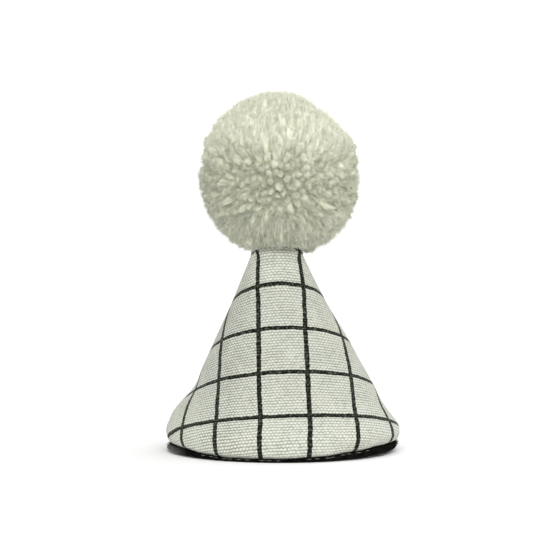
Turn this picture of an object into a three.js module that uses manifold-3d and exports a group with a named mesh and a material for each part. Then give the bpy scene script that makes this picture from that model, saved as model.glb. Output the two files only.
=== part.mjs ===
// A small party hat: a checked canvas cone, sewn onto a black felt base, with a yarn pompom on its tip.
// Millimetres, +Z up, the front faces -Y, and the origin is the centre of the base's underside.
import * as THREE from "three";
import { mergeVertices } from "three/addons/utils/BufferGeometryUtils.js";
import Module from "manifold-3d";

const wasm = await Module();
wasm.setup();

// Driving dimensions
const clothThickness = 1.2;
const feltRadius = 34.4;
const feltMiddleThickness = 1.2;
const feltEdgeRound = 0.4;
const feltFlatRadius = 27;
const widestRadius = 35.4;
const widestHeight = 6.6;
const hemRadius = 33.2;
const hemHeight = 1.5;
const seamDepth = 0.35;
const pompomRadius = 24;
const pompomCentre = new THREE.Vector3(-1.3, 0, 84.4);
const assemblyGap = 0.3;

// How finely the cloth and the felt are faceted
const columns = 48;
const coneRows = 18;

// The cone's cross-sections from the hem up: height, radius, and how far the soft cone leans to +X there
const coneSections = [
  { height: hemHeight, radius: hemRadius, lean: 0 },
  { height: 2.7, radius: 34.8, lean: 0 },
  { height: widestHeight, radius: widestRadius, lean: 0 },
  { height: 10, radius: 33.8, lean: 0 },
  { height: 15, radius: 30.3, lean: 0 },
  { height: 22, radius: 26.3, lean: 0 },
  { height: 32, radius: 21.1, lean: -0.3 },
  { height: 45, radius: 14.4, lean: -1.2 },
  { height: 58, radius: 7.9, lean: -1.9 },
  { height: 67, radius: 3.1, lean: -2.4 },
  { height: 69.2, radius: 1.2, lean: -2.5 },
];
const tipHeight = 69.8;

// The felt's edge, squeezed thin where the cloth rolls over it, by azimuth from the front towards +X
const feltEdge = [
  { azimuth: -90, thickness: 2.5 },
  { azimuth: -62, thickness: 2.3 },
  { azimuth: -42, thickness: 1.3 },
  { azimuth: 0, thickness: 1.2 },
  { azimuth: 30, thickness: 1.8 },
  { azimuth: 50, thickness: 2.4 },
  { azimuth: 90, thickness: 2.8 },
  { azimuth: 180, thickness: 1.9 },
];

// Dents (positive depth) and bulges in the soft cone, each fading out over its spreads
const dents = [
  { azimuth: -90, height: 20, depth: 0.9, azimuthSpread: 38, heightSpread: 4 },
  { azimuth: -90, height: 13, depth: -0.9, azimuthSpread: 36, heightSpread: 3.5 },
  { azimuth: 78, height: 14, depth: 0.6, azimuthSpread: 34, heightSpread: 5 },
  { azimuth: 30, height: 36, depth: 0.4, azimuthSpread: 30, heightSpread: 12 },
  { azimuth: 150, height: 25, depth: 0.5, azimuthSpread: 28, heightSpread: 9 },
];

// The dents fade in over this height above the widest ring, and no ring of cloth closes tighter than this
const dentFade = 4;
const leastClothRadius = 0.2;

// The pompom is a ball of yarn ends: a solid head, and locks of yarn that stand out of it
const pompomHead = { radius: 20.4, detail: 1 };
const yarnLock = { count: 100, sides: 6, rootRadius: 2.6, rootDepth: 2.4 };
const lockTrim = { spread: 0.35, turn: 2.4 };
const socketStart = 50;

// A lock's outline from where it leaves the head to its clipped tip: shares of its length, and radii
const lockOutline = [
  { share: 0.5, radius: 4.2 },
  { share: 0.86, radius: 2.9 },
];

const canvas = new THREE.MeshStandardMaterial({ color: "#d9dccb", roughness: 0.9, metalness: 0 });
const felt = new THREE.MeshStandardMaterial({ color: "#121312", roughness: 1, metalness: 0 });
const yarn = new THREE.MeshStandardMaterial({ color: "#e2e5d3", roughness: 0.95, metalness: 0 });

const { degToRad, euclideanModulo, lerp, smoothstep } = THREE.MathUtils;

// The smallest turn from one azimuth to another, in degrees, from -180 to 180
const turnBetween = (from, to) => euclideanModulo(to - from + 180, 360) - 180;

// A point on the ring of a radius and height, at an azimuth counted from the front towards +X
function ringPoint(radius, height, azimuth, lean = 0) {
  const angle = degToRad(azimuth);
  return new THREE.Vector3(lean + radius * Math.sin(angle), -radius * Math.cos(angle), height);
}

// A closed surface from one pole, through rings of equal size, to another pole
function loft(firstPole, rings, lastPole) {
  const points = [firstPole, ...rings.flat(), lastPole];
  const size = rings[0].length;
  const last = points.length - 1;
  const at = (ring, column) => 1 + ring * size + (column % size);
  const triangles = [];
  for (let column = 0; column < size; column++) {
    triangles.push(0, at(0, column + 1), at(0, column));
    triangles.push(last, at(rings.length - 1, column), at(rings.length - 1, column + 1));
    for (let ring = 0; ring + 1 < rings.length; ring++) {
      triangles.push(at(ring, column), at(ring, column + 1), at(ring + 1, column + 1));
      triangles.push(at(ring, column), at(ring + 1, column + 1), at(ring + 1, column));
    }
  }
  return new THREE.BufferGeometry().setFromPoints(points).setIndex(triangles);
}

// A full ring of points, from a function of the azimuth
function ring(pointAt) {
  return Array.from({ length: columns }, (_, column) => pointAt((360 * column) / columns));
}

// The felt edge's thickness at an azimuth, eased between the rows of its table
function feltEdgeThickness(azimuth) {
  const turnPast = (row) => euclideanModulo(azimuth - row.azimuth, 360);
  const from = feltEdge.reduce((best, row) => (turnPast(row) < turnPast(best) ? row : best));
  const to = feltEdge[(feltEdge.indexOf(from) + 1) % feltEdge.length];
  const span = euclideanModulo(to.azimuth - from.azimuth, 360);
  return lerp(from.thickness, to.thickness, smoothstep(turnPast(from), 0, span));
}

// How far the cloth sinks in at a place: its dents, and the sewn seam down the middle of the back
function sinkAt(azimuth, height) {
  let sink = Math.abs(turnBetween(180, azimuth)) < 180 / columns ? seamDepth : 0;
  for (const dent of dents) {
    const across = turnBetween(dent.azimuth, azimuth) / dent.azimuthSpread;
    const along = (height - dent.height) / dent.heightSpread;
    sink += dent.depth * Math.exp(-across * across - along * along);
  }
  return sink * smoothstep(height, widestHeight, widestHeight + dentFade);
}

// The hem follows the felt's edge, and the lift fades out at the widest ring
function hemLift(azimuth, height) {
  const lift = feltEdgeThickness(azimuth) + assemblyGap - hemHeight;
  return lift * (1 - smoothstep(height, hemHeight, widestHeight));
}

// One ring of the cone's cloth, for a row of its profile
function clothRing(row) {
  return ring((azimuth) => {
    const radius = Math.max(row.radius - sinkAt(azimuth, row.height), leastClothRadius);
    return ringPoint(radius, row.height + hemLift(azimuth, row.height), azimuth, row.lean);
  });
}

// The cone's outer profile, on a smooth curve through its sections
function outerProfile() {
  const curve = new THREE.CatmullRomCurve3(
    coneSections.map((section) => new THREE.Vector3(section.radius, section.lean, section.height)),
    false,
    "centripetal",
  );
  return curve.getPoints(coneRows).map((point) => ({ radius: point.x, lean: point.y, height: point.z }));
}

// A profile moved sideways, in for the cloth's inner face and out for a clearance around it
function offsetProfile(profile, distance) {
  const moved = profile.map((row, index) => {
    const before = profile[Math.max(index - 1, 0)];
    const after = profile[Math.min(index + 1, profile.length - 1)];
    const along = new THREE.Vector2(after.radius - before.radius, after.height - before.height).normalize();
    const radius = row.radius + distance * along.y;
    return { radius, lean: row.lean, height: row.height - distance * along.x };
  });
  return moved.filter((row) => row.radius > clothThickness / 2);
}

// The canvas cone: a hollow wall, open at the hem, whose tip is closed inside the pompom
function coneCover(profile) {
  const inside = offsetProfile(profile, -clothThickness);
  const tip = profile.at(-1);
  const insideTop = inside.at(-1);
  return loft(
    new THREE.Vector3(insideTop.lean, 0, insideTop.height + clothThickness / 2),
    [...inside.toReversed().map(clothRing), ...profile.map(clothRing)],
    new THREE.Vector3(tip.lean, 0, tipHeight),
  );
}

// The felt base: a flat disc with a softly rounded edge, which closes the cone
function feltBase() {
  const rim = (inset, heightUnder) =>
    ring((azimuth) => ringPoint(feltRadius - inset, heightUnder(feltEdgeThickness(azimuth)), azimuth));
  return loft(
    new THREE.Vector3(0, 0, 0),
    [
      rim(feltEdgeRound, () => 0),
      rim(0, () => feltEdgeRound),
      rim(0, (top) => top - feltEdgeRound),
      rim(feltEdgeRound, (top) => top),
      ring((azimuth) => ringPoint(feltFlatRadius, feltMiddleThickness, azimuth)),
    ],
    new THREE.Vector3(0, 0, feltMiddleThickness),
  );
}

// A closed mesh as a solid for joining and cutting
function solidOf(geometry) {
  const bare = geometry.clone();
  bare.deleteAttribute("normal");
  bare.deleteAttribute("uv");
  const merged = mergeVertices(bare, 1e-4);
  return new wasm.Manifold(
    new wasm.Mesh({
      numProp: 3,
      vertProperties: new Float32Array(merged.attributes.position.array),
      triVerts: new Uint32Array(merged.index.array),
    }),
  );
}

// A solid's surface as a geometry again
function geometryOf(solid) {
  const mesh = solid.getMesh();
  return new THREE.BufferGeometry()
    .setAttribute("position", new THREE.BufferAttribute(mesh.vertProperties, 3))
    .setIndex(new THREE.BufferAttribute(mesh.triVerts, 1));
}

// One lock of yarn: rooted in the head, widest near its end, and clipped to a blunt round tip
function yarnLockGeometry(length) {
  const outline = [
    new THREE.Vector2(0, -yarnLock.rootDepth),
    new THREE.Vector2(yarnLock.rootRadius, -yarnLock.rootDepth),
    ...lockOutline.map((row) => new THREE.Vector2(row.radius, row.share * length)),
    new THREE.Vector2(0, length),
  ];
  return new THREE.LatheGeometry(outline, yarnLock.sides);
}

// The pompom: locks spread evenly over a round head, joined to it, with a socket for the cone's tip
function pompom(profile) {
  let ball = solidOf(new THREE.IcosahedronGeometry(pompomHead.radius, pompomHead.detail));
  const goldenTurn = Math.PI * (3 - Math.sqrt(5));
  const lockLength = pompomRadius - pompomHead.radius;
  const along = new THREE.Vector3(0, 1, 0);
  for (let lock = 0; lock < yarnLock.count; lock++) {
    const height = 1 - (2 * lock + 1) / yarnLock.count;
    const around = Math.sqrt(1 - height * height);
    const outward = new THREE.Vector3(
      around * Math.cos(lock * goldenTurn),
      around * Math.sin(lock * goldenTurn),
      height,
    );
    const trim = lockTrim.spread * (0.5 + 0.5 * Math.sin(lock * lockTrim.turn));
    const geometry = yarnLockGeometry(lockLength - trim);
    geometry.applyQuaternion(new THREE.Quaternion().setFromUnitVectors(along, outward));
    geometry.translate(...outward.multiplyScalar(pompomHead.radius));
    ball = ball.add(solidOf(geometry));
  }
  const socketRows = offsetProfile(profile, assemblyGap).filter((row) => row.height > socketStart);
  const low = socketRows[0];
  const tip = socketRows.at(-1);
  const socket = loft(
    new THREE.Vector3(low.lean, 0, low.height),
    socketRows.map(clothRing),
    new THREE.Vector3(tip.lean, 0, tipHeight + assemblyGap),
  ).translate(-pompomCentre.x, -pompomCentre.y, -pompomCentre.z);
  const pieces = ball.subtract(solidOf(socket)).decompose();
  pieces.sort((a, b) => b.volume() - a.volume());
  return geometryOf(pieces[0]);
}

function named(name, geometry, material) {
  const mesh = new THREE.Mesh(geometry, material);
  mesh.name = name;
  return mesh;
}

const profile = outerProfile();
const partyHat = new THREE.Group();
partyHat.add(named("felt_base", feltBase(), felt));
partyHat.add(named("cone_cover", coneCover(profile), canvas));
const pompomMesh = named("pompom", pompom(profile), yarn);
pompomMesh.position.copy(pompomCentre);
partyHat.add(pompomMesh);

export default partyHat;
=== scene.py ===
# A small party hat: a checked canvas cone on a black felt base, with a yarn pompom on its tip.
# Metres, +Z up, the front faces -Y. Tables are in millimetres and degrees, and mm turns them to metres.
import math

import bpy
import numpy as np
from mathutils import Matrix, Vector, noise


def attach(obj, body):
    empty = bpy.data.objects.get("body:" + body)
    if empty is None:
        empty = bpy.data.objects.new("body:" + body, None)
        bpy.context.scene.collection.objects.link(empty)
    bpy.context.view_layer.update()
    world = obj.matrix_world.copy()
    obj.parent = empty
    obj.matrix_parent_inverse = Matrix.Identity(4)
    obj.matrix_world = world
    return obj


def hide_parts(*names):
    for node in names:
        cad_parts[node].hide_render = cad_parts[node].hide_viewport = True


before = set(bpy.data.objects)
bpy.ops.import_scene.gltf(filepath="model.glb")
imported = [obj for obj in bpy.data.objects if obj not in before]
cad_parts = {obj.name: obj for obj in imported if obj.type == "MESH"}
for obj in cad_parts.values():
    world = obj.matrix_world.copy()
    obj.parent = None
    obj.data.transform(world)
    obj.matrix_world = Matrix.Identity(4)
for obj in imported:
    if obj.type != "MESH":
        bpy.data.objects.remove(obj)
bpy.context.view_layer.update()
mm = 0.001
print("frame loaded:", ", ".join(sorted(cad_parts)))


def linearColour(hexCode):  # sRGB hex to the linear colour that a socket takes
    parts = [int(hexCode[i:i + 2], 16) / 255 for i in (1, 3, 5)]
    return (*[p / 12.92 if p <= 0.04045 else ((p + 0.055) / 1.055) ** 2.4 for p in parts], 1.0)


def setInputs(tree, node, inputs):  # a value or a link for each socket
    for socket, value in inputs.items():
        if isinstance(value, bpy.types.NodeSocket):
            tree.links.new(value, node.inputs[socket])
        else:
            node.inputs[socket].default_value = value


def addNode(tree, kind, inputs=None, **settings):  # one node with its settings and inputs
    node = tree.nodes.new(kind)
    for name, value in settings.items():
        setattr(node, name, value)
    setInputs(tree, node, inputs or {})
    return node


def newMaterial(name):  # an empty material with its shader and output
    material = bpy.data.materials.new(name)
    material.use_nodes = True
    tree = material.node_tree
    tree.nodes.clear()
    shader = addNode(tree, "ShaderNodeBsdfPrincipled")
    addNode(tree, "ShaderNodeOutputMaterial", {"Surface": shader.outputs["BSDF"]})
    return material, tree, shader


def smoothStep(value, low, high):
    share = np.clip((value - low) / (high - low), 0, 1)
    return share * share * (3 - 2 * share)


def vertexPlaces(mesh):
    places = np.empty(len(mesh.vertices) * 3)
    mesh.vertices.foreach_get("co", places)
    return places.reshape(-1, 3)


def setPlaces(mesh, places):
    mesh.vertices.foreach_set("co", places.ravel())
    mesh.update()


def joinedMesh(name, places, faces):  # many small shapes as one mesh
    mesh = bpy.data.meshes.new(name)
    mesh.from_pydata(places.reshape(-1, 3).tolist(), [], faces)
    mesh.update()
    piece = bpy.data.objects.new(name, mesh)
    bpy.context.scene.collection.objects.link(piece)
    return piece


def addAttribute(mesh, name, values):  # one number for each vertex
    attribute = mesh.attributes.new(name, "FLOAT", "POINT")
    attribute.data.foreach_set("value", np.asarray(values, np.float32).ravel())


def copiedFaces(faces, size, copies):  # the faces of one shape, again for each copy of it
    return [[corner + copy * size for corner in face] for copy in range(copies) for face in faces]


def turnedFrames(outward, spin):  # two unit vectors across each direction, turned by spin
    helper = np.where(np.abs(outward[:, 2:3]) < 0.9, [[0.0, 0.0, 1.0]], [[1.0, 0.0, 0.0]])
    first = np.cross(helper, outward)
    first /= np.linalg.norm(first, axis=1, keepdims=True)
    second = np.cross(outward, first)
    c, s = np.cos(spin)[:, None], np.sin(spin)[:, None]
    return first * c + second * s, second * c - first * s


# Camera far off and a little above, aimed at the middle of the hat, as in the photo
view = {
    "aim": Vector((-0.92, 0, 51.71)) * mm,
    "distance": 1000 * mm,
    "nearest": 50 * mm,  # anything closer isn't drawn
    "pitch": math.radians(3.45),
    "lens": 212.4,
}
back = Vector((0, -math.cos(view["pitch"]), math.sin(view["pitch"])))
bpy.ops.object.select_all(action="DESELECT")
bpy.ops.object.camera_add(
    location=view["aim"] + back * view["distance"],
    rotation=(math.pi / 2 - view["pitch"], 0, 0),
)
camera = bpy.context.object
camera.data.lens = view["lens"]
camera.data.clip_start = view["nearest"]
bpy.context.scene.camera = camera

# Studio: a white floor, a white horizon under a dimmer sky, a broad soft light overhead and a front fill
studio = {
    "floorSize": 8.0,
    "floorColour": "#fcfcfc",
    "floorSurface": {"Roughness": 1.0, "Specular IOR Level": 0.0},
    "glow": {"From Min": 0.3, "From Max": 0.6, "To Min": 1.7, "To Max": 0.2},  # by sine of elevation
    "lights": [  # name, strength, spread, tilt towards the front, tilt towards the right
        ("overheadSoftLight", 1.3, 80, -14, 18),
        ("frontFillLight", 1.6, 40, 58, 3),
    ],
}
world = bpy.data.worlds.new("whiteSurround")
bpy.context.scene.world = world
world.use_nodes = True
tree = world.node_tree
rising = addNode(
    tree, "ShaderNodeSeparateXYZ", {"Vector": addNode(tree, "ShaderNodeTexCoord").outputs["Generated"]}
)
glow = addNode(tree, "ShaderNodeMapRange", {"Value": rising.outputs["Z"], **studio["glow"]})
setInputs(tree, tree.nodes["Background"], {"Color": (1, 1, 1, 1), "Strength": glow.outputs["Result"]})
bpy.context.scene.view_settings.view_transform = "Standard"

bpy.ops.object.select_all(action="DESELECT")
bpy.ops.mesh.primitive_plane_add(size=studio["floorSize"], location=(0, 0, 0))
floor = bpy.context.object
floor.name = "studioFloor"
paper, tree, shader = newMaterial("mattePaper")
setInputs(tree, shader, {"Base Color": linearColour(studio["floorColour"]), **studio["floorSurface"]})
floor.data.materials.append(paper)

for name, strength, spread, frontTilt, rightTilt in studio["lights"]:
    turn = (math.radians(frontTilt), math.radians(rightTilt), 0)
    bpy.ops.object.light_add(type="SUN", location=(0, 0, 1), rotation=turn)
    lamp = bpy.context.object
    lamp.name = name
    lamp.data.energy = strength
    lamp.data.angle = math.radians(spread)
print("camera and studio ready")

# Felt base
feltBase = {
    "radius": 34.4 * mm,
    "middleThickness": 1.0 * mm,
    "edgeRound": 0.4 * mm,
    "flatRadius": 27 * mm,
    "columns": 192,
    "rings": (0.4, 0.8, 1.2, 2.0, 3.0, 6.0, 8.0, 8.0),  # from the rim inwards
    "bevel": 0.3 * mm,
    "edge": [  # azimuth from the front towards +X, height of the top, height of the underside
        (-90, 2.6, 0.9),
        (-62, 2.25, 0.55),
        (-42, 1.3, 0.2),
        (-30, 0.8, 0.0),
        (0, 0.75, 0.0),
        (20, 1.2, 0.15),
        (36, 2.1, 0.45),
        (58, 3.05, 0.85),
        (90, 3.0, 1.3),
        (180, 1.9, 0.3),
    ],
    "leftReach": (1.0 * mm, -0.7 * mm),  # the left end slopes: its underside reaches out, its top draws in
    "lumps": 0.14 * mm,
    "lumpSize": 2.2 * mm,
}
feltFuzz = {
    "count": 5000,
    "length": (0.5, 1.5),
    "width": 0.05,
    "rootDepth": 0.15 * mm,
    "height": (0.15, 1.0),  # share of the rim's height
    "crowding": 0.7,  # more of them stand near its top
    "outward": (0.2, 1.0),
    "sideways": 0.9,
    "upward": (-0.1, 0.7),
    "seed": 11,
}
feltFinish = {
    "matSize": 1.1 * mm,
    "fleckSize": 0.9 * mm,
    "tones": [(0.35, "#050504"), (0.75, "#1a1b18")],
    "flecks": {"From Min": 0.60, "From Max": 0.72},
    "fleckColour": "#2e291d",
    "paintedSheen": {  # painted sheen: grey where grazing light catches the left end; to the left, and low down
        "X": {"From Min": -29 * mm, "From Max": -36 * mm},
        "Z": {"From Min": 2.5 * mm, "From Max": 1.8 * mm},
    },
    "paintedSheenColour": "#9a9a96",
    "bump": {"Strength": 0.7, "Distance": 0.25 * mm},
    "surface": {"Roughness": 0.95, "Specular IOR Level": 0.02},
}


def feltEdge(azimuth, side=1):  # degrees in, metres out: the rim's top, or its underside with side 2
    turns = np.array([row[0] for row in feltBase["edge"]] + [feltBase["edge"][0][0] + 360.0])
    heights = np.array([row[side] for row in feltBase["edge"]] + [feltBase["edge"][0][side]]) * mm
    turn = (azimuth - turns[0]) % 360 + turns[0]
    row = np.clip(np.searchsorted(turns, turn, side="right") - 1, 0, len(turns) - 2)
    share = (turn - turns[row]) / (turns[row + 1] - turns[row])
    return heights[row] + (heights[row + 1] - heights[row]) * share * share * (3 - 2 * share)


def leftShift(share, leftward):  # how far the left end reaches out, by share of the rim's height
    low, top = feltBase["leftReach"]
    return (low + (top - low) * share) * np.clip(leftward, 0, 1) ** 3


def rimWays(azimuth):  # unit vectors out from the rim and along it
    turn = np.radians(azimuth)
    level = np.zeros(len(turn))
    outwards = np.stack([np.sin(turn), -np.cos(turn), level], axis=1)
    return outwards, np.stack([np.cos(turn), np.sin(turn), level], axis=1)


# Pressed felt: matted wool, no weave. Dull black with a few brown fibres, and a painted grey sheen low on
# its left end, where grazing light catches it.
def makeFeltMaterial():
    material, tree, shader = newMaterial("pressedFelt")
    place = addNode(tree, "ShaderNodeTexCoord").outputs["Object"]
    matScale, fleckScale = 1 / feltFinish["matSize"], 1 / feltFinish["fleckSize"]
    mat = addNode(tree, "ShaderNodeTexNoise", {"Vector": place, "Scale": matScale, "Detail": 5.0})
    fleck = addNode(tree, "ShaderNodeTexNoise", {"Vector": place, "Scale": fleckScale, "Detail": 2.0})
    tone = addNode(tree, "ShaderNodeValToRGB", {"Fac": mat.outputs["Fac"]})
    for stop, (position, hexCode) in zip(tone.color_ramp.elements, feltFinish["tones"]):
        stop.position = position
        stop.color = linearColour(hexCode)
    brown = addNode(tree, "ShaderNodeMapRange", {"Value": fleck.outputs["Fac"], **feltFinish["flecks"]})
    flecked = addNode(
        tree,
        "ShaderNodeMix",
        {0: brown.outputs["Result"], 6: tone.outputs["Color"], 7: linearColour(feltFinish["fleckColour"])},
        data_type="RGBA",
    )
    split = addNode(tree, "ShaderNodeSeparateXYZ", {"Vector": place})
    # painted sheen: grey mixed in to the left and low down, standing in for light on the felt
    sheenShare = mat.outputs["Fac"]
    for axis, fade in feltFinish["paintedSheen"].items():
        share = addNode(tree, "ShaderNodeMapRange", {"Value": split.outputs[axis], **fade})
        sheenShare = addNode(
            tree, "ShaderNodeMath", {0: share.outputs["Result"], 1: sheenShare}, operation="MULTIPLY"
        ).outputs[0]
    colour = addNode(
        tree,
        "ShaderNodeMix",
        {0: sheenShare, 6: flecked.outputs[2], 7: linearColour(feltFinish["paintedSheenColour"])},
        data_type="RGBA",
    )
    bump = addNode(tree, "ShaderNodeBump", {"Height": mat.outputs["Fac"], **feltFinish["bump"]})
    looks = {"Base Color": colour.outputs[2], "Normal": bump.outputs["Normal"]}
    setInputs(tree, shader, {**looks, **feltFinish["surface"]})
    return material


feltMaterial = makeFeltMaterial()
bpy.ops.object.select_all(action="DESELECT")
bpy.ops.mesh.primitive_cylinder_add(
    vertices=feltBase["columns"],
    radius=feltBase["radius"],
    depth=feltBase["middleThickness"],
    location=(0, 0, feltBase["middleThickness"] / 2),
)
feltPiece = bpy.context.object
bpy.ops.object.transform_apply(location=True)
bpy.ops.object.mode_set(mode="EDIT")
bpy.ops.mesh.select_mode(type="FACE")
bpy.ops.mesh.select_all(action="DESELECT")
bpy.ops.object.mode_set(mode="OBJECT")
for face in feltPiece.data.polygons:
    face.select = abs(face.normal.z) > 0.9
bpy.ops.object.mode_set(mode="EDIT")
for ring in feltBase["rings"]:
    bpy.ops.mesh.inset(thickness=ring * mm, use_boundary=True)
bpy.ops.mesh.select_mode(type="EDGE")
bpy.ops.mesh.select_all(action="DESELECT")
bpy.ops.object.mode_set(mode="OBJECT")
feltPlaces = vertexPlaces(feltPiece.data)
slack = 0.01 * mm  # closer than this counts as the same place
atRim = np.hypot(feltPlaces[:, 0], feltPlaces[:, 1]) > feltBase["radius"] - slack
for edge in feltPiece.data.edges:
    a, b = edge.vertices
    edge.select = bool(atRim[a] and atRim[b] and abs(feltPlaces[a, 2] - feltPlaces[b, 2]) < slack)
bpy.ops.object.mode_set(mode="EDIT")
bpy.ops.mesh.bevel(offset=feltBase["bevel"], segments=3, affect="EDGES")
bpy.ops.object.mode_set(mode="OBJECT")

# The rim rises to its thickness at each azimuth, and the matted wool is lumpy
feltPlaces = vertexPlaces(feltPiece.data)
radius = np.hypot(feltPlaces[:, 0], feltPlaces[:, 1])
azimuth = np.degrees(np.arctan2(feltPlaces[:, 0], -feltPlaces[:, 1]))
nearRim = smoothStep(radius, feltBase["flatRadius"], feltBase["radius"] - feltBase["edgeRound"])
share = feltPlaces[:, 2] / feltBase["middleThickness"]
under = feltEdge(azimuth, 2) * nearRim
top = feltBase["middleThickness"] + (feltEdge(azimuth) - feltBase["middleThickness"]) * nearRim
feltPlaces[:, 2] = under + (top - under) * share
feltPlaces[:, 0] -= leftShift(share, -feltPlaces[:, 0] / feltBase["radius"]) * nearRim
for index, place in enumerate(feltPlaces):
    if radius[index] > feltBase["flatRadius"]:
        lump = noise.noise(Vector(place) / feltBase["lumpSize"]) * feltBase["lumps"]
        place[:2] *= 1 + lump / radius[index]
setPlaces(feltPiece.data, feltPlaces)
bpy.ops.object.select_all(action="DESELECT")
feltPiece.select_set(True)
bpy.context.view_layer.objects.active = feltPiece
bpy.ops.object.shade_smooth_by_angle(angle=math.radians(50))
feltPiece.name = feltPiece.data.name = "feltBase"
feltPiece.data.materials.append(feltMaterial)
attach(feltPiece, "root")
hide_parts("felt_base")
print("felt base made:", len(feltPiece.data.polygons), "faces")

# A loose fibre, closed: three corners at its root and a point at its tip
needlePlaces = np.array([[1, 0, 0], [-0.5, 0.866, 0], [-0.5, -0.866, 0], [0, 0, 1]])
needleFaces = [[0, 2, 1], [0, 1, 3], [1, 2, 3], [2, 0, 3]]


def needles(name, roots, outward, lengths, widths, spin):  # loose fibres as one mesh
    outward = outward / np.linalg.norm(outward, axis=1, keepdims=True)
    first, second = turnedFrames(outward, spin)
    places = roots[:, None] + outward[:, None] * (needlePlaces[None, :, 2:] * lengths[:, None, None])
    places += first[:, None] * (needlePlaces[None, :, 0:1] * widths[:, None, None])
    places += second[:, None] * (needlePlaces[None, :, 1:2] * widths[:, None, None])
    return joinedMesh(name, places, copiedFaces(needleFaces, len(needlePlaces), len(roots)))


draw = np.random.default_rng(feltFuzz["seed"])
count = feltFuzz["count"]
azimuth = draw.uniform(-180, 180, count)
share = draw.uniform(*feltFuzz["height"], count) ** feltFuzz["crowding"]
under = feltEdge(azimuth, 2)
thick = feltEdge(azimuth) - under
around, along = rimWays(azimuth)
up = np.array([[0.0, 0.0, 1.0]])
roots = around * (feltBase["radius"] - feltFuzz["rootDepth"]) + up * (under + thick * share)[:, None]
roots[:, 0] -= leftShift(share, -around[:, 0])
aim = around * draw.uniform(*feltFuzz["outward"], (count, 1))
aim = aim + along * draw.normal(0, feltFuzz["sideways"], (count, 1))
aim = aim + up * draw.uniform(*feltFuzz["upward"], (count, 1)) * share[:, None]
feltHairs = needles(
    "feltFuzz",
    roots,
    aim,
    draw.uniform(*feltFuzz["length"], count) * mm,
    np.full(count, feltFuzz["width"] / 2 * mm),
    draw.uniform(0, 2 * math.pi, count),
)
feltHairs.data.materials.append(feltMaterial)
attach(feltHairs, "root")
print("felt fuzz made:", count, "fibres")

# Canvas cone
canvasCone = {
    "columns": 192,
    "stepsPerSpan": 6,
    "thickness": 1.2 * mm,
    "hemHeight": 1.5 * mm,
    "widestHeight": 6.6 * mm,
    "tipHeight": 69.8 * mm,
    "feltGap": 0.15 * mm,
    "dentFade": 4 * mm,
    "sections": [  # height, radius, lean to +X
        (1.5, 33.2, 0),
        (2.7, 34.8, 0),
        (6.6, 35.4, 0),
        (10, 33.8, 0),
        (15, 30.3, 0),
        (22, 26.3, 0),
        (32, 21.1, -0.3),
        (45, 14.3, -1.1),
        (58, 8.4, -1.8),
        (60.5, 7.75, -1.9),
        (64, 5.4, -2.1),
        (67, 3.1, -2.4),
        (69.2, 1.4, -2.5),
    ],
    "dents": [  # azimuth, height, depth (bulges are negative), spread in azimuth, spread in height
        (-90, 20, 0.9, 38, 4),
        (-90, 13, -0.9, 36, 3.5),
        (78, 14, 0.6, 34, 5),
        (30, 36, 0.4, 30, 12),
        (150, 25, 0.5, 28, 9),
    ],
    "seam": {"azimuth": 180, "depth": 0.4 * mm, "halfWidth": 0.9 * mm},
    "puckers": {
        "count": 31,
        "depth": 0.14 * mm,
        "fade": (2 * mm, 9 * mm),  # heights
        "crowding": (2.2, 3),  # closer and wider by turns: how much, and how often round the hem
        "groups": (5, 1),  # deeper and flatter by turns: how often, and where they start, in radians
    },
    "unevenness": {"depth": 0.22 * mm, "size": 11 * mm, "fade": (4 * mm, 12 * mm)},  # radii
}
coneSections = np.array(canvasCone["sections"]) * mm

# The cloth as it lay flat. Its uprights fan out from the tip. Its levels bow at the top and lie flatter
# and turned to the right lower down, where the cloth is eased round the base.
clothCut = {
    "check": {"X": 14.4 * mm, "Y": 14.23 * mm},
    "lineWidths": {"X": 1.45 * mm, "Y": 1.3 * mm},
    "rowPitch": 0.88 * mm,
    "stitchPitch": 1.06 * mm,
    "crownStitch": 0.35,  # how much of the warp shows on the crowns of the rows
    "open": {"From Min": -5 * mm, "From Max": -15 * mm},  # the weave opens to the left
    "openStitch": 0.5,  # and shows this much more warp
    "openWeaveShade": {"From Min": -30 * mm, "From Max": -17 * mm, "To Max": -0.11},  # darker, but not at the end: partly the open weave, partly painted shade for light falling from the right
    "paler": [  # painted light by height: paler towards the hem for light bounced off the floor, and near the tip against the pompom's shadow
        {"From Min": 24 * mm, "From Max": 9 * mm, "To Min": 1.0, "To Max": 1.11},
        {"From Min": 50 * mm, "From Max": 60 * mm, "To Min": 1.0, "To Max": 1.2},
    ],
    "hemReach": 72.3 * mm,
    "hemEase": 0.15,  # the cloth is gathered this close under the hem, but not at the back
    "easeEnd": (95, 135),  # degrees from the front
    "uprights": {
        "first": 9.63 * mm,
        "rows": [  # reach from the tip, fan, turn in degrees, skew
            (12.2, 0.656, -13.8, 0.0),
            (17.9, 0.557, -10.7, 0.0),
            (22.9, 0.503, -8.1, 0.0),
            (31, 0.488, -6.7, -0.027),
            (45, 0.474, -6.1, 0.01),
            (56, 0.470, -5.2, 0.052),
            (66, 0.475, -3.4, 0.07),
        ],
    },
    "levels": {
        "first": -22.2 * mm,
        "rows": [  # reach from the tip, fan, turn in degrees
            (11.8, 0.92, 2),
            (14, 0.63, 4),
            (18, 0.53, 5),
            (23, 0.46, 4.8),
            (65, 0.323, 10.9),
        ],
    },
    "backFan": 0.40,
    "weaveFrom": 23 * mm,  # nearer the tip the weave keeps the fan that it has here
    "cutReach": 79 * mm,  # the fan that it was cut to, with the edge turned under the hem
    "cutFan": math.pi * 0.48,  # radians to each side
}
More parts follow.
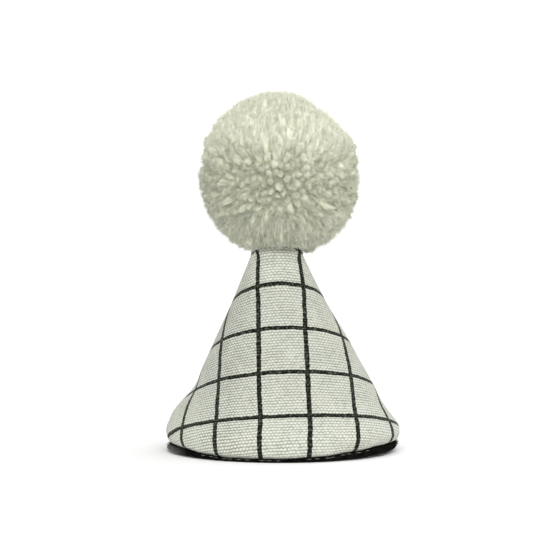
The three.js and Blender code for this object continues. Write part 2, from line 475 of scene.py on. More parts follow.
canvasFinish = {
    "noises": {  # size, detail
        "wander": (3.5 * mm, 2.0),
        "patch": (6 * mm, 2.0),
        "fibre": (0.9 * mm, 3.0),
        "slub": (1.1 * mm, 1.0),
        "blotch": (14 * mm, 2.0),
        "missed": (0.9 * mm, 2.0),
    },
    "wander": 0.6 * mm,  # threads and print stray this far
    "patch": {"From Min": 0.35, "From Max": 0.65, "To Min": 0.36, "To Max": 0.58},  # how much warp shows
    "weft": 0.55,
    "uneven": [("fibre", 0.3), ("slub", 0.4)],
    # the dark stop is painted shade in the grooves between the rows of weft
    "tones": [(0.33, "#6e7068"), (1.0, "#c8cbc2")],
    "blotches": ("#f8fafa", "#fbf9f0"),
    "inkEdge": {"From Min": 0.14 * mm, "From Max": 0.28 * mm, "To Min": 1.0, "To Max": 0.0},
    "inkRagged": 0.4 * mm,
    "inkMissed": 0.35,  # how much more the ink misses the raised threads
    "inkTones": [(0.64, "#080b06"), (1.0, "#586151")],
    "bump": {"Strength": 0.7, "Distance": 0.25 * mm},
    "surface": {"Roughness": 0.9, "Specular IOR Level": 0.15, "Sheen Weight": 0.05},
}


def curveThrough(points, steps):  # a smooth curve through the points, with steps to each span
    ends = np.vstack([2 * points[0] - points[1], points, 2 * points[-1] - points[-2]])
    rows = []
    for a, b, c, d in zip(ends, ends[1:], ends[2:], ends[3:]):
        for t in np.linspace(0, 1, steps, endpoint=False):
            bend = (2 * a - 5 * b + 4 * c - d) * t + (3 * b - a - 3 * c + d) * t * t
            rows.append(b + (c - a + bend) * t / 2)
    return np.array([*rows, points[-1]])


def turnFrom(start, azimuth):  # degrees from -180 to 180
    return (azimuth - start + 180) % 360 - 180


def shapeCloth(places):  # dents, seam, puckers and hem, on the plain lofted cone
    lean = np.interp(places[:, 2], coneSections[:, 0], coneSections[:, 2])
    across = np.stack([places[:, 0] - lean, places[:, 1]], axis=1)
    radius = np.linalg.norm(across, axis=1)
    azimuth = np.degrees(np.arctan2(across[:, 0], -across[:, 1]))
    height = places[:, 2].copy()
    sink = np.zeros(len(places))
    for dentAzimuth, dentHeight, depth, turnSpread, heightSpread in canvasCone["dents"]:
        side = turnFrom(dentAzimuth, azimuth) / turnSpread
        rise = (height / mm - dentHeight) / heightSpread
        sink += depth * mm * np.exp(-side * side - rise * rise)
    widest = canvasCone["widestHeight"]
    sink *= smoothStep(height, widest, widest + canvasCone["dentFade"])
    seam = canvasCone["seam"]
    offSeam = np.abs(np.radians(turnFrom(seam["azimuth"], azimuth))) * radius
    sink += seam["depth"] * np.exp(-((offSeam / seam["halfWidth"]) ** 2))
    puckers = canvasCone["puckers"]
    turn = np.radians(azimuth)
    swing, swings = puckers["crowding"]
    groups, groupStart = puckers["groups"]
    ripple = np.sin(turn * puckers["count"] + swing * np.sin(turn * swings))
    ripple *= np.sin(turn * groups + groupStart)
    sink += puckers["depth"] * ripple * (1 - smoothStep(height, *puckers["fade"]))
    uneven = canvasCone["unevenness"]
    waves = np.array([noise.noise(Vector(place) / uneven["size"]) for place in places])
    sink += uneven["depth"] * waves * smoothStep(radius, *uneven["fade"])
    places[:, :2] -= across * (sink / np.maximum(radius, 0.1 * mm))[:, None]  # the tip has no radius
    lift = feltEdge(azimuth) + canvasCone["feltGap"] - canvasCone["hemHeight"]
    places[:, 2] += lift * (1 - smoothStep(height, canvasCone["hemHeight"], widest))
    return places


def flatCloth(azimuth, reach, fanFrom=0):  # a point's place on the cloth as it lay flat
    eased = np.minimum(reach, clothCut["hemReach"])
    ease = clothCut["hemEase"]
    ease = ease + (1 - ease) * smoothStep(np.abs(azimuth), *clothCut["easeEnd"])
    eased = eased + ease * (reach - eased)
    at = np.maximum(eased, fanFrom)
    reaches, *columns = np.array(clothCut["uprights"]["rows"]).T
    fan, turn, skew = (np.interp(at, reaches * mm, column) for column in columns)
    turn = azimuth - turn
    fan = fan * (1 - skew * np.clip(turn / 90, -1, 1))
    sideways = eased * np.sin(np.radians(turn * fan))
    reaches, *columns = np.array(clothCut["levels"]["rows"]).T
    fan, turn = (np.interp(at, reaches * mm, column) for column in columns)
    turn = azimuth - turn
    fan = fan + (clothCut["backFan"] - fan) * (turn / 180) ** 2
    return np.stack([sideways, -reach * np.cos(np.radians(turn * fan))], axis=1)


# Cotton canvas, plain woven, with a check printed on it. Rows of plump weft with dark pin holes and painted
# shade in the grooves between them, and ink that sits on the threads and misses a few.
def makeCanvasMaterial():
    material, tree, shader = newMaterial("printedCanvas")
    flat = addNode(tree, "ShaderNodeUVMap", uv_map="clothFlat").outputs["UV"]
    place = addNode(tree, "ShaderNodeTexCoord").outputs["Object"]
    height = addNode(tree, "ShaderNodeSeparateXYZ", {"Vector": place}).outputs["Z"]
    noises = {}
    for name, (size, detail) in canvasFinish["noises"].items():
        where = place if name == "slub" else flat
        noises[name] = addNode(
            tree, "ShaderNodeTexNoise", {"Vector": where, "Scale": 1 / size, "Detail": detail}
        ).outputs["Color" if name == "wander" else "Fac"]
    centred = addNode(
        tree, "ShaderNodeVectorMath", {0: noises["wander"], 1: (0.5, 0.5, 0.5)}, operation="SUBTRACT"
    )
    stray = canvasFinish["wander"]
    wander = addNode(
        tree, "ShaderNodeVectorMath", {0: centred.outputs[0], "Scale": stray}, operation="SCALE"
    ).outputs[0]
    grain = addNode(tree, "ShaderNodeUVMap", uv_map="clothGrain").outputs["UV"]
    woven = addNode(tree, "ShaderNodeVectorMath", {0: grain, 1: wander}, operation="ADD").outputs[0]
    across = addNode(tree, "ShaderNodeSeparateXYZ", {"Vector": woven}).outputs["Y"]
    printed = addNode(tree, "ShaderNodeVectorMath", {0: flat, 1: wander}, operation="ADD")
    split = addNode(tree, "ShaderNodeSeparateXYZ", {"Vector": printed.outputs[0]})
    waveTurn = 2 * math.pi / 20  # a wave texture turns 20 radians to a unit
    weft = addNode(
        tree,
        "ShaderNodeTexWave",
        {"Vector": woven, "Scale": waveTurn / clothCut["rowPitch"]},
        bands_direction="Y",
    )
    row = addNode(tree, "ShaderNodeMath", {0: across, 1: clothCut["rowPitch"]}, operation="DIVIDE")
    rowNumber = addNode(tree, "ShaderNodeMath", {0: row.outputs[0]}, operation="FLOOR")
    rowShift = addNode(tree, "ShaderNodeMath", {0: rowNumber.outputs[0], 1: math.pi}, operation="MULTIPLY")
    warp = addNode(
        tree,
        "ShaderNodeTexWave",
        {"Vector": woven, "Scale": waveTurn / clothCut["stitchPitch"], "Phase Offset": rowShift.outputs[0]},
        bands_direction="X",
    )
    dots = addNode(tree, "ShaderNodeMapRange", {"Value": noises["patch"], **canvasFinish["patch"]})
    stitch = addNode(
        tree, "ShaderNodeMath", {0: warp.outputs["Fac"], 1: dots.outputs["Result"]}, operation="MULTIPLY"
    )
    groove = addNode(tree, "ShaderNodeMath", {0: 1.0, 1: weft.outputs["Fac"]}, operation="SUBTRACT")
    openCloth = addNode(tree, "ShaderNodeMapRange", {"Value": split.outputs["X"], **clothCut["open"]})
    crown = addNode(
        tree,
        "ShaderNodeMath",
        {0: openCloth.outputs["Result"], 1: clothCut["openStitch"], 2: clothCut["crownStitch"]},
        operation="MULTIPLY_ADD",
    )
    shownStitch = addNode(
        tree,
        "ShaderNodeMapRange",
        {"Value": groove.outputs[0], "To Min": crown.outputs[0], "To Max": 1.0},
    )
    bridge = addNode(
        tree,
        "ShaderNodeMath",
        {0: stitch.outputs[0], 1: shownStitch.outputs["Result"]},
        operation="MULTIPLY",
    )
    weave = addNode(
        tree,
        "ShaderNodeMath",
        {0: weft.outputs["Fac"], 1: canvasFinish["weft"], 2: bridge.outputs[0]},
        operation="MULTIPLY_ADD",
    )
    slubbed = weave.outputs[0]
    for name, amount in canvasFinish["uneven"]:
        slubbed = addNode(
            tree, "ShaderNodeMath", {0: noises[name], 1: amount, 2: slubbed}, operation="MULTIPLY_ADD"
        ).outputs[0]
    # partly painted shade: the open weave on the left is drawn darker, as the light falls from the right
    openWeaveShade = addNode(tree, "ShaderNodeMapRange", {"Value": split.outputs["X"], **clothCut["openWeaveShade"]})
    uneven = addNode(
        tree,
        "ShaderNodeMath",
        {0: openCloth.outputs["Result"], 1: openWeaveShade.outputs["Result"], 2: slubbed},
        operation="MULTIPLY_ADD",
    )
    threadTone = addNode(tree, "ShaderNodeValToRGB", {"Fac": uneven.outputs[0]})
    fleck = addNode(
        tree,
        "ShaderNodeMath",
        {0: weave.outputs[0], 1: canvasFinish["inkMissed"], 2: noises["missed"]},
        operation="MULTIPLY_ADD",
    )
    inkTone = addNode(tree, "ShaderNodeValToRGB", {"Fac": fleck.outputs[0]})
    for ramp, tones in ((threadTone, canvasFinish["tones"]), (inkTone, canvasFinish["inkTones"])):
        for stop, (position, hexCode) in zip(ramp.color_ramp.elements, tones):
            stop.position = position
            stop.color = linearColour(hexCode)
    cool, warm = (linearColour(hexCode) for hexCode in canvasFinish["blotches"])
    warmth = addNode(tree, "ShaderNodeMix", {0: noises["blotch"], 6: cool, 7: warm}, data_type="RGBA")
    ground = addNode(
        tree,
        "ShaderNodeMix",
        {0: 1.0, 6: threadTone.outputs["Color"], 7: warmth.outputs[2]},
        data_type="RGBA",
        blend_type="MULTIPLY",
    ).outputs[2]
    # painted light: the cloth is drawn paler towards the hem and near the tip
    for heights in clothCut["paler"]:
        pale = addNode(tree, "ShaderNodeMapRange", {"Value": height, **heights})
        ground = addNode(
            tree, "ShaderNodeVectorMath", {0: ground, "Scale": pale.outputs["Result"]}, operation="SCALE"
        ).outputs[0]
    offEdge = []
    for axis, first in (("X", clothCut["uprights"]["first"]), ("Y", clothCut["levels"]["first"])):
        shifted = addNode(tree, "ShaderNodeMath", {0: split.outputs[axis], 1: first}, operation="SUBTRACT")
        halfCheck, halfLine = clothCut["check"][axis] / 2, clothCut["lineWidths"][axis] / 2
        folded = addNode(
            tree, "ShaderNodeMath", {0: shifted.outputs[0], 1: halfCheck}, operation="PINGPONG"
        )
        edge = addNode(tree, "ShaderNodeMath", {0: folded.outputs[0], 1: halfLine}, operation="SUBTRACT")
        offEdge.append(edge.outputs[0])
    nearest = addNode(tree, "ShaderNodeMath", {0: offEdge[0], 1: offEdge[1]}, operation="MINIMUM")
    ragged = addNode(
        tree,
        "ShaderNodeMath",
        {0: noises["fibre"], 1: canvasFinish["inkRagged"], 2: nearest.outputs[0]},
        operation="MULTIPLY_ADD",
    )
    ink = addNode(
        tree,
        "ShaderNodeMapRange",
        {"Value": ragged.outputs[0], **canvasFinish["inkEdge"]},
        interpolation_type="SMOOTHSTEP",
    )
    colour = addNode(
        tree,
        "ShaderNodeMix",
        {0: ink.outputs["Result"], 6: ground, 7: inkTone.outputs["Color"]},
        data_type="RGBA",
    )
    bump = addNode(tree, "ShaderNodeBump", {"Height": uneven.outputs[0], **canvasFinish["bump"]})
    looks = {"Base Color": colour.outputs[2], "Normal": bump.outputs["Normal"]}
    setInputs(tree, shader, {**looks, **canvasFinish["surface"]})
    return material


profile = curveThrough(coneSections, canvasCone["stepsPerSpan"])
bpy.ops.object.select_all(action="DESELECT")
bpy.ops.mesh.primitive_circle_add(
    vertices=canvasCone["columns"],
    radius=profile[0][1],
    fill_type="NOTHING",
    rotation=(0, 0, math.pi / 2),
    location=(profile[0][2], 0, profile[0][0]),
)
conePiece = bpy.context.object
bpy.ops.object.transform_apply(location=True, rotation=True)
bpy.ops.object.mode_set(mode="EDIT")
for (lowHeight, lowRadius, lowLean), (height, ringRadius, lean) in zip(profile, profile[1:]):
    bpy.ops.mesh.extrude_edges_move(
        TRANSFORM_OT_translate={"value": (lean - lowLean, 0, height - lowHeight)}
    )
    grow = ringRadius / lowRadius
    bpy.ops.transform.resize(value=(grow, grow, 1), center_override=(lean, 0, height))
bpy.ops.mesh.extrude_edges_move(
    TRANSFORM_OT_translate={"value": (0, 0, canvasCone["tipHeight"] - profile[-1][0])}
)
bpy.ops.mesh.merge(type="CENTER")
bpy.ops.mesh.select_all(action="SELECT")
bpy.ops.mesh.normals_make_consistent(inside=False)
bpy.ops.object.mode_set(mode="OBJECT")
coneMesh = conePiece.data

# Each corner's azimuth and reach from the tip give its place on the flat cloth, split along the back seam
places = vertexPlaces(coneMesh)
steps = np.hypot(np.diff(profile[:, 0]), np.diff(profile[:, 1]))
tipStep = math.hypot(canvasCone["tipHeight"] - profile[-1][0], profile[-1][1])
ringReach = tipStep + np.append(np.cumsum(steps[::-1])[::-1], 0)
heights = np.append(profile[:, 0], canvasCone["tipHeight"])
reach = np.interp(places[:, 2], heights, np.append(ringReach, 0))
lean = np.interp(places[:, 2], profile[:, 0], profile[:, 2])
azimuth = np.degrees(np.arctan2(places[:, 0] - lean, -places[:, 1]))
corners = np.empty(len(coneMesh.loops), int)
coneMesh.loops.foreach_get("vertex_index", corners)
faceMiddles = [(face.center.x - lean[face.vertices[0]], -face.center.y) for face in coneMesh.polygons]
faceCorners = [face.loop_total for face in coneMesh.polygons]
faceAzimuth = np.repeat([math.degrees(math.atan2(*middle)) for middle in faceMiddles], faceCorners)
cornerAzimuth = faceAzimuth + turnFrom(faceAzimuth, azimuth[corners])
cornerAzimuth = np.where(reach[corners] > 0, cornerAzimuth, faceAzimuth)
for name, fanFrom in (("clothFlat", 0), ("clothGrain", clothCut["weaveFrom"])):
    clothMap = coneMesh.uv_layers.new(name=name)
    clothMap.data.foreach_set("uv", flatCloth(cornerAzimuth, reach[corners], fanFrom).ravel())
setPlaces(coneMesh, shapeCloth(places))

wall = conePiece.modifiers.new("clothWall", "SOLIDIFY")
wall.thickness = canvasCone["thickness"]
wall.offset = -1
bpy.ops.object.modifier_apply(modifier=wall.name)
bpy.ops.object.shade_smooth_by_angle(angle=math.radians(60))
conePiece.name = coneMesh.name = "canvasCone"
coneMesh.materials.append(makeCanvasMaterial())
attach(conePiece, "root")
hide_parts("cone_cover")
print("canvas cone made:", len(coneMesh.polygons), "faces")

# Short cotton stitches tack the cloth to the felt, and show at the front where the felt is thin
hemStitch = {
    "count": 26,
    "span": 50,  # degrees to each side of the front
    "stray": 0.8,  # degrees
    "kept": 0.7,
    "length": (0.6, 1.3),
    "width": 0.24,
    "below": 0.05 * mm,
    "proud": 0.1 * mm,
    "inward": 0.08,  # their ends turn in under the hem
    "colour": "#7c7d74",
    "seed": 5,
}
draw = np.random.default_rng(hemStitch["seed"])
stitchTurn = np.linspace(-hemStitch["span"], hemStitch["span"], hemStitch["count"])
stitchTurn = stitchTurn[draw.uniform(0, 1, hemStitch["count"]) < hemStitch["kept"]]
stitchTurn = np.repeat(stitchTurn + draw.normal(0, hemStitch["stray"], len(stitchTurn)), 2)
count = len(stitchTurn)
around, along = rimWays(stitchTurn)
along *= np.where(np.arange(count) % 2 == 0, 1, -1)[:, None]  # each stitch tapers both ways
roots = around * (feltBase["radius"] + hemStitch["proud"])
roots[:, 2] = feltEdge(stitchTurn) - hemStitch["below"]
stitches = needles(
    "hemStitches",
    roots,
    along - hemStitch["inward"] * around,
    draw.uniform(*hemStitch["length"], count) * mm,
    np.full(count, hemStitch["width"] / 2 * mm),
    draw.uniform(0, 2 * math.pi, count),
)
cotton, tree, shader = newMaterial("cottonThread")  # twisted cotton: dull and off-white
setInputs(tree, shader, {"Base Color": linearColour(hemStitch["colour"]), "Roughness": 0.9})
stitches.data.materials.append(cotton)
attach(stitches, "root")
print("hem stitches made:", count // 2)

# Pompom
pompom = {
    "centre": np.array([-1.1, 0, 82.3]) * mm,
    "radius": 23.3 * mm,
    "rise": 1.10,  # the upper half is taller
    "seat": {"front": 63.5 * mm, "sides": 60.8 * mm},  # trimmed at these heights, over the cone
    "ends": 1050,
    "rootRadius": 12 * mm,
    "coneGap": 0.6 * mm,
    "trim": {"uneven": 0.45 * mm, "combed": 0.6, "longest": 0.3 * mm},  # combed ends are more even
    "lean": {"away": (0.55, 0, 1.1), "range": (0.6, 1.3), "stray": 0.09},  # off a tie from front to back
    "combed": 1.1,  # how much further they lean above and below
    "combedFrom": (0.25, 0.65),
    "splay": {"more": 2.2, "from": (0, 0.45)},  # and how much further sideways in the lower half
    "taper": {"amount": 0.25, "from": 0.6},  # combed ends are thinner at their tips
    "slant": {"amount": 0.35, "from": 0.8},  # the ends are cut askew
    "rough": 0.1,
    "flat": {"way": (0.6, 0, 0.8), "depth": 1.4 * mm, "from": (0.8, 1.0)},  # clipped on the upper right
    "shoulder": {"level": 0.37, "spread": 0.13, "extra": 0.9 * mm},  # longer ends, above the middle
    "lumps": {"depth": 0.5 * mm, "pitch": 2.3, "shift": 5, "level": 0.3},
    "jitter": 0.022,
    "clump": {"amount": 0.06, "pitch": 3.1, "shifts": (3, 12, 21)},
    "sway": {"amount": 0.6 * mm, "back": 0.6},
    "seed": 7,
}
yarnTones = {  # painted light and shade by direction, with random tone on top; 0 is pale and 1 is grey
    "middle": 0.5,
    "above": -0.6,
    "right": -0.2,
    "below": 0.33,
    "uncombed": 0.55,
    "uneven": 0.12,
    # painted shade: the combed tips are drawn greyer, dulling their lit tips
    "combedTips": {"more": 0.24, "from": (0.25, 0.6)},
}
yarnCore = {
    "radius": 21.7 * mm,
    "dimpleRadius": 12.0 * mm,
    "dimple": (math.radians(22), math.radians(34)),  # off the straight way down, round the cone's tip
    "combedFill": 0.7 * mm,
    "lumps": 0.3 * mm,
    "lumpSize": 3 * mm,
    "seatGap": 2 * mm,
    "depth": (0.9, 0.07),  # as a share of the ends' length, and how much more where they are combed
}
yarnEnd = {
    "sides": 9,
    "plies": 3,
    "radius": 1.5 * mm,
    "radiusRange": (0.85, 1.2),
    "plyGroove": 0.88,
    "twist": 20,  # degrees from row to row
    "rows": [  # share of the length, share of the radius
        (0.0, 0.60),
        (0.45, 0.90),
        (0.75, 1.0),
        (0.92, 1.0),
        (0.97, 0.85),
        (0.992, 0.50),
    ],
}
yarnFinish = {
    "pale": "#fafbe9",
    "grey": "#bbbda9",
    # painted light: a yellower cream deep among the ends, lifting the shade that falls there
    "inside": "#e8eacb",
    "outside": {"From Min": 0.6, "From Max": 0.97},  # share of the ends' length
    "fibreSize": 0.5 * mm,
    "bump": {"Strength": 0.9, "Distance": 0.4 * mm},
    "surface": {"Roughness": 0.9, "Specular IOR Level": 0.1},
}
yarnBrush = {
    "pieces": 2,
    "count": 36000,
    "spread": 1.15,  # of the end's radius
    "offMiddle": (0.05, 1),
    "atTip": {"part": 0.65, "share": 1.04},  # most reach the tip
    "behind": (0.6, 1.0),  # and the others end here
    "rounding": 0.06,  # shorter round the outside
    "uneven": 0.025,
    "rootSpread": 0.85,
    "length": (3, 7),
    "width": 0.18,
    "paler": 0.2,
    "seed": 31,
}
pompomFuzz = {
    "pieces": 2,
    "count": 45000,
    "depth": 0.25,
    "offMiddle": 0.8,
    "outward": (0.2, 1.0),
    "sideways": (0.1, 0.9),
    "stray": 0.35,
    "length": (0.8, 2.4),
    "above": {"longer": 0.8, "from": (0.3, 0.7)},
    "width": 0.06,
    # painted light: the loose fibres are drawn paler than their ends
    "paler": 0.4,
    "seed": 23,
}


# Acrylic yarn: soft plied fibre, matt. Painted light and shade: cream above, greyer underneath and round
# the middle, and yellower down among the ends, a painted light that lifts the shade there.
def makeYarnMaterial():
    material, tree, shader = newMaterial("acrylicYarn")
    tone = addNode(tree, "ShaderNodeAttribute", attribute_name="yarnTone")
    depth = addNode(tree, "ShaderNodeAttribute", attribute_name="yarnShare")
    place = addNode(tree, "ShaderNodeTexCoord").outputs["Object"]
    fibreScale = 1 / yarnFinish["fibreSize"]
    fibre = addNode(tree, "ShaderNodeTexNoise", {"Vector": place, "Scale": fibreScale, "Detail": 3.0})
    pale, grey, creamy = (linearColour(yarnFinish[name]) for name in ("pale", "grey", "inside"))
    endColour = addNode(tree, "ShaderNodeMix", {0: tone.outputs["Fac"], 6: pale, 7: grey}, data_type="RGBA")
    outside = addNode(tree, "ShaderNodeMapRange", {"Value": depth.outputs["Fac"], **yarnFinish["outside"]})
    colour = addNode(
        tree,
        "ShaderNodeMix",
        {0: outside.outputs["Result"], 6: creamy, 7: endColour.outputs[2]},
        data_type="RGBA",
    )
    bump = addNode(tree, "ShaderNodeBump", {"Height": fibre.outputs["Fac"], **yarnFinish["bump"]})
    looks = {"Base Color": colour.outputs[2], "Normal": bump.outputs["Normal"]}
    setInputs(tree, shader, {**looks, **yarnFinish["surface"]})
    return material


# One yarn end, a metre long and a metre in radius until it is placed: plied, twisted and clipped round
bpy.ops.object.select_all(action="DESELECT")
bpy.ops.mesh.primitive_circle_add(
    vertices=yarnEnd["sides"], radius=yarnEnd["rows"][0][1], fill_type="NOTHING"
)
yarnPiece = bpy.context.object
for vertex in yarnPiece.data.vertices:
    vertex.select = vertex.index % (yarnEnd["sides"] // yarnEnd["plies"]) == 0
bpy.ops.object.mode_set(mode="EDIT")
groove = yarnEnd["plyGroove"]
bpy.ops.transform.resize(value=(groove, groove, 1), center_override=(0, 0, 0))
bpy.ops.mesh.select_all(action="SELECT")
bpy.ops.mesh.edge_face_add()
for (lowShare, lowRadius), (share, rowRadius) in zip(yarnEnd["rows"], yarnEnd["rows"][1:]):
    bpy.ops.mesh.extrude_region_move(TRANSFORM_OT_translate={"value": (0, 0, share - lowShare)})
    grow = rowRadius / lowRadius
    bpy.ops.transform.resize(value=(grow, grow, 1), center_override=(0, 0, share))
    bpy.ops.transform.rotate(
        value=math.radians(yarnEnd["twist"]), orient_axis="Z", center_override=(0, 0, share)
    )
bpy.ops.mesh.poke()
bpy.ops.mesh.select_all(action="SELECT")
bpy.ops.mesh.normals_make_consistent(inside=False)
bpy.ops.object.mode_set(mode="OBJECT")
endPlaces = vertexPlaces(yarnPiece.data)
order = np.lexsort(np.round(endPlaces / mm).T)  # the same order each run
endRank = np.argsort(order)
endPlaces = endPlaces[order]
endFaces = sorted([int(endRank[corner]) for corner in face.vertices] for face in yarnPiece.data.polygons)
bpy.data.objects.remove(yarnPiece)
print("yarn end modelled:", len(endFaces), "faces")


def risen(offset):  # the ball's upper half is taller than its lower half
    return offset * np.where(offset[:, 2:] > 0, [[1, 1, pompom["rise"]]], 1.0)


def seatReach(ways):  # how far from the centre the seat lies, in each direction
    ahead = np.clip(-ways[:, 1] / np.hypot(ways[:, 0], ways[:, 1]), 0, 1)
    seat = pompom["seat"]
    height = seat["sides"] + (seat["front"] - seat["sides"]) * ahead
    return (pompom["centre"][2] - height) / np.maximum(-ways[:, 2], 0.1)  # far off, but for below


def clippedBy(ways):  # how much closer the ball is clipped, in each direction
    flat = pompom["flat"]
    return flat["depth"] * smoothStep(ways @ np.array(flat["way"]), *flat["from"])


def endTone(ways, combed):  # painted light and shade: greyer underneath and round the middle, paler above and to the right
    level = ways[:, 2]
    pale = np.minimum(yarnTones["above"] * np.maximum(level, 0), yarnTones["right"] * ways[:, 0])
    low = yarnTones["below"] * np.maximum(-level, 0)
    return yarnTones["middle"] + pale + low + yarnTones["uncombed"] * (1 - combed)


def smoothNoise(ways, pitch, shift):  # a number for each direction that drifts over the ball
    return np.array([noise.noise(Vector(way) * pitch + Vector((shift, 0, 0))) for way in ways])


# Yarn ends spread over the ball, loosened a little, and trimmed round
draw = np.random.default_rng(pompom["seed"])
count = pompom["ends"]
index = np.arange(count)
level = 1 - (2 * index + 1) / count
golden = index * math.pi * (3 - math.sqrt(5))
ringShare = np.sqrt(1 - level * level)
outward = np.stack([ringShare * np.cos(golden), ringShare * np.sin(golden), level], axis=1)
outward += draw.normal(0, pompom["jitter"], (count, 3))
clump, lumps, trim = pompom["clump"], pompom["lumps"], pompom["trim"]
drift = [smoothNoise(outward, clump["pitch"], shift) for shift in clump["shifts"]]
outward += clump["amount"] * np.stack(drift, axis=1)
outward /= np.linalg.norm(outward, axis=1, keepdims=True)
lumpy = smoothNoise(outward, lumps["pitch"], lumps["shift"]) - lumps["level"]
combed = smoothStep(np.abs(outward[:, 2]), *pompom["combedFrom"])
trimmed = draw.normal(0, trim["uneven"], count) * (1 - trim["combed"] * combed)
reach = pompom["radius"] + lumps["depth"] * lumpy + trimmed
reach = np.minimum(reach, pompom["radius"] + trim["longest"])
reach -= clippedBy(outward)
shoulder = (outward[:, 2] - pompom["shoulder"]["level"]) / pompom["shoulder"]["spread"]
reach += pompom["shoulder"]["extra"] * np.exp(-shoulder * shoulder)
reach = np.minimum(reach, seatReach(outward))
endRadius = yarnEnd["radius"] * draw.uniform(*yarnEnd["radiusRange"], count)
sway = draw.normal(0, pompom["sway"]["amount"], (count, 3))
lean = outward * np.array(pompom["lean"]["away"])
lean[:, 2] *= 1 + pompom["combed"] * combed
lean[:, 0] *= 1 + pompom["splay"]["more"] * smoothStep(-outward[:, 2], *pompom["splay"]["from"])
lean *= draw.uniform(*pompom["lean"]["range"], (count, 1))
lean += draw.normal(0, pompom["lean"]["stray"], (count, 3))
lean -= outward * np.sum(lean * outward, axis=1, keepdims=True)
heading = outward * (1 - pompom["rootRadius"] / pompom["radius"]) + lean
heading /= np.linalg.norm(heading, axis=1, keepdims=True)
first, second = turnedFrames(heading, draw.uniform(0, 2 * math.pi, count))
tone = np.clip(endTone(outward, combed) + draw.normal(0, yarnTones["uneven"], count), 0, 1)

# Ends that would stand inside the cone are left off
tips = pompom["centre"] + outward * reach[:, None]
coneRadius = np.interp(tips[:, 2], coneSections[:, 0], coneSections[:, 1], right=0)
coneLean = np.interp(tips[:, 2], coneSections[:, 0], coneSections[:, 2])
clear = np.hypot(tips[:, 0] - coneLean, tips[:, 1]) > coneRadius + pompom["coneGap"]
outward, lean, combed, reach, endRadius, sway, first, second, tone = (
    part[clear] for part in (outward, lean, combed, reach, endRadius, sway, first, second, tone)
)
count = len(outward)


def alongEnd(onEnd, share):  # places on the middle line of the yarn ends
    way = outward[onEnd] - lean[onEnd] * (1 - share)[:, None]
    way /= np.linalg.norm(way, axis=1, keepdims=True)
    along = pompom["rootRadius"] + share * (reach[onEnd] - pompom["rootRadius"])
    bow = share ** 2 - pompom["sway"]["back"] * share
    offset = way * along[:, None] + sway[onEnd] * bow[:, None]
    return pompom["centre"] + risen(offset)


shares = np.tile(endPlaces[:, 2], count)
onEnd = np.repeat(np.arange(count), len(endPlaces))
slim = 1 - pompom["taper"]["amount"] * combed[onEnd] * smoothStep(shares, pompom["taper"]["from"], 1)
slim = slim * draw.normal(1, pompom["rough"], len(shares))
across = np.tile(endPlaces[:, :2], (count, 1)) * (endRadius[onEnd] * slim)[:, None]
slant = draw.normal(0, pompom["slant"]["amount"], (count, 2))
askew = np.sum(across * slant[onEnd], axis=1) * smoothStep(shares, pompom["slant"]["from"], 1)
shares = shares + askew / (reach[onEnd] - pompom["rootRadius"])
yarnPlaces = alongEnd(onEnd, shares) + first[onEnd] * across[:, :1] + second[onEnd] * across[:, 1:]
yarnBall = joinedMesh("yarnPompom", yarnPlaces, copiedFaces(endFaces, len(endPlaces), count))
combedTips = yarnTones["combedTips"]  # painted shade: greyer tips among the combed fibres, dulling their lit tips
soft = combedTips["more"] * smoothStep(np.abs(outward[:, 2]), *combedTips["from"])
addAttribute(yarnBall.data, "yarnTone", np.clip(tone + soft, 0, 1)[onEnd])
addAttribute(yarnBall.data, "yarnShare", shares)

# The ends meet in a matted ball, with a dimple round the cone's tip
bpy.ops.object.select_all(action="DESELECT")
bpy.ops.mesh.primitive_ico_sphere_add(subdivisions=6, radius=yarnCore["radius"])
coreBall = bpy.context.object
ways = vertexPlaces(coreBall.data) / yarnCore["radius"]
offDown = np.arccos(np.clip(-ways[:, 2], -1, 1))
lumpy = smoothNoise(ways, yarnCore["radius"] / yarnCore["lumpSize"], 0)
coreReach = yarnCore["radius"] + yarnCore["lumps"] * lumpy
coreCombed = smoothStep(np.abs(ways[:, 2]), *pompom["combedFrom"])
coreReach += yarnCore["combedFill"] * coreCombed
coreReach -= clippedBy(ways)
dimple = 1 - smoothStep(offDown, *yarnCore["dimple"])
coreReach = np.minimum(coreReach, seatReach(ways) - yarnCore["seatGap"])
coreReach += (yarnCore["dimpleRadius"] - coreReach) * dimple
setPlaces(coreBall.data, pompom["centre"] + risen(ways * coreReach[:, None]))
addAttribute(coreBall.data, "yarnTone", np.clip(endTone(ways, coreCombed), 0, 1))
addAttribute(coreBall.data, "yarnShare", yarnCore["depth"][0] + yarnCore["depth"][1] * coreCombed)
yarnBall.select_set(True)
bpy.context.view_layer.objects.active = yarnBall
bpy.ops.object.join()
yarnMaterial = makeYarnMaterial()
yarnBall.data.materials.append(yarnMaterial)
yarnBall.data.shade_smooth()
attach(yarnBall, "root")
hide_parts("pompom")
print("pompom made:", count, "yarn ends,", len(yarnBall.data.polygons), "faces")


def dressYarn(piece, tones, depths):  # fibres take the tone and depth of the end they belong to
    addAttribute(piece.data, "yarnTone", np.repeat(tones, len(needlePlaces)))
    addAttribute(piece.data, "yarnShare", np.repeat(depths, len(needlePlaces)))
    piece.data.materials.append(yarnMaterial)
    piece.data.shade_smooth()
    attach(piece, "root")
    print(piece.name, "made:", len(tones), "fibres")


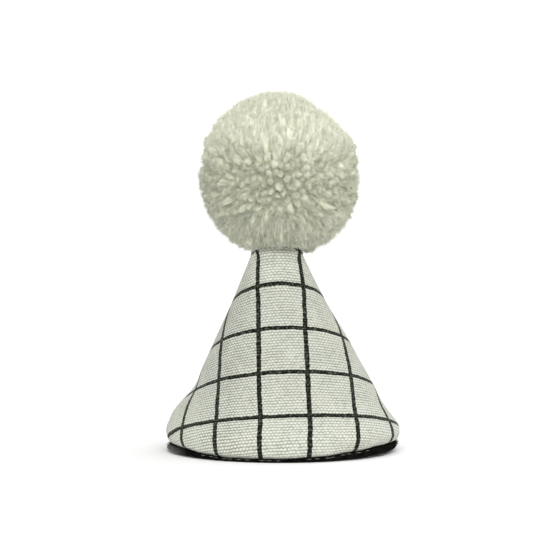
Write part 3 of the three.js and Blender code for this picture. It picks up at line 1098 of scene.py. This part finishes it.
# Cut fibres make each end a blunt soft brush. They taper inwards and are drawn coarse enough to show.
for part in range(yarnBrush["pieces"]):
    draw = np.random.default_rng(yarnBrush["seed"] + part)
    fibreCount = yarnBrush["count"]
    onEnd = draw.integers(0, count, fibreCount)
    turn = draw.uniform(0, 2 * math.pi, fibreCount)
    off = np.sqrt(draw.uniform(*yarnBrush["offMiddle"], fibreCount))
    sideways = first[onEnd] * np.cos(turn)[:, None] + second[onEnd] * np.sin(turn)[:, None]
    sideways *= (off * yarnBrush["spread"] * endRadius[onEnd])[:, None]
    atTip = draw.uniform(0, 1, fibreCount) < yarnBrush["atTip"]["part"]
    share = np.where(atTip, yarnBrush["atTip"]["share"], draw.uniform(*yarnBrush["behind"], fibreCount))
    share = share - yarnBrush["rounding"] * off ** 2 + draw.normal(0, yarnBrush["uneven"], fibreCount)
    ends = alongEnd(onEnd, share) + sideways
    length = draw.uniform(*yarnBrush["length"], fibreCount) * mm
    rootShare = share - length / (reach[onEnd] - pompom["rootRadius"])
    roots = alongEnd(onEnd, rootShare) + sideways * yarnBrush["rootSpread"]
    aim = roots - ends
    brush = needles(
        f"yarnBrush{part + 1}",
        ends,
        aim,
        np.linalg.norm(aim, axis=1),
        np.full(fibreCount, yarnBrush["width"] / 2 * mm),
        turn,
    )
    dressYarn(brush, np.maximum(tone[onEnd] - yarnBrush["paler"], 0), share)

# Loose fibres stand out all over and soften the ball's edge. They are drawn paler than the ends, a painted
# light against their own shade.
for part in range(pompomFuzz["pieces"]):
    draw = np.random.default_rng(pompomFuzz["seed"] + part)
    fuzzCount = pompomFuzz["count"]
    onEnd = draw.integers(0, count, fuzzCount)
    share = 1 - pompomFuzz["depth"] * draw.uniform(0, 1, fuzzCount) ** 2
    turn = draw.uniform(0, 2 * math.pi, fuzzCount)
    sideways = first[onEnd] * np.cos(turn)[:, None] + second[onEnd] * np.sin(turn)[:, None]
    aim = outward[onEnd] * draw.uniform(*pompomFuzz["outward"], (fuzzCount, 1))
    aside = sideways * draw.uniform(*pompomFuzz["sideways"], (fuzzCount, 1))
    aim += aside + draw.normal(0, pompomFuzz["stray"], (fuzzCount, 3))
    above = pompomFuzz["above"]
    longer = 1 + above["longer"] * smoothStep(outward[onEnd, 2], *above["from"])
    pompomHairs = needles(
        f"pompomFuzz{part + 1}",
        alongEnd(onEnd, share) + sideways * yarnEnd["radius"] * pompomFuzz["offMiddle"],
        aim,
        draw.uniform(*pompomFuzz["length"], fuzzCount) * mm * longer,
        np.full(fuzzCount, pompomFuzz["width"] / 2 * mm),
        turn,
    )
    dressYarn(pompomHairs, np.maximum(tone[onEnd] - pompomFuzz["paler"], 0), share)
